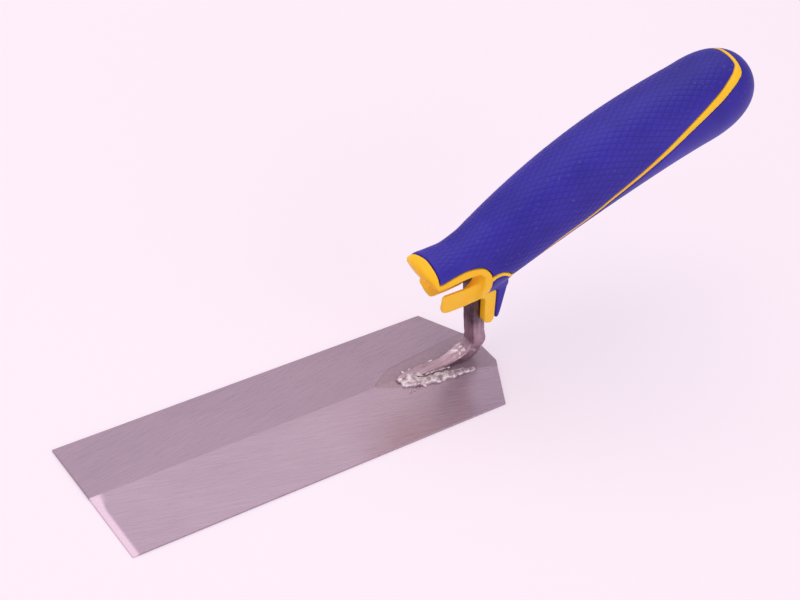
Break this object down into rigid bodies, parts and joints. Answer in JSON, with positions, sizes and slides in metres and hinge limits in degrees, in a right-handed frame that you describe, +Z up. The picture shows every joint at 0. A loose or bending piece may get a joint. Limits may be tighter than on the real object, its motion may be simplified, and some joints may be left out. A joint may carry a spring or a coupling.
{
  "type": "margin trowel",
  "caption": "Small flat hand trowel: ground steel blade with cut rear corners, bent square tang on a welded foot, and a two-colour soft-grip handle with a slot for a bucket rim.",
  "frame": {"origin": "centre of the blade's flat working face, on its underside", "axes": "+X from the blade's front edge towards the handle, +Z up from the working face, +Y to the left of a user who holds the handle and looks along +X"},
  "size_m": [0.2479, 0.05, 0.1009],
  "materials": {
    "ground_steel": "ground, fine lengthwise scratches",
    "bar_steel": "dark forged",
    "weld_metal": "rough, bright weld metal",
    "core_plastic": "satin moulded",
    "grip_rubber": "matte soft-touch, fine cross-hatch on the upper pad"
  },
  "bodies": {
    "root": {"blade": "ground_steel", "tang": "bar_steel", "weld_bead_near": "weld_metal", "weld_bead_far": "weld_metal", "handle_core": "core_plastic", "upper_grip": "grip_rubber", "lower_grip": "grip_rubber"}
  },
  "joints": []
}
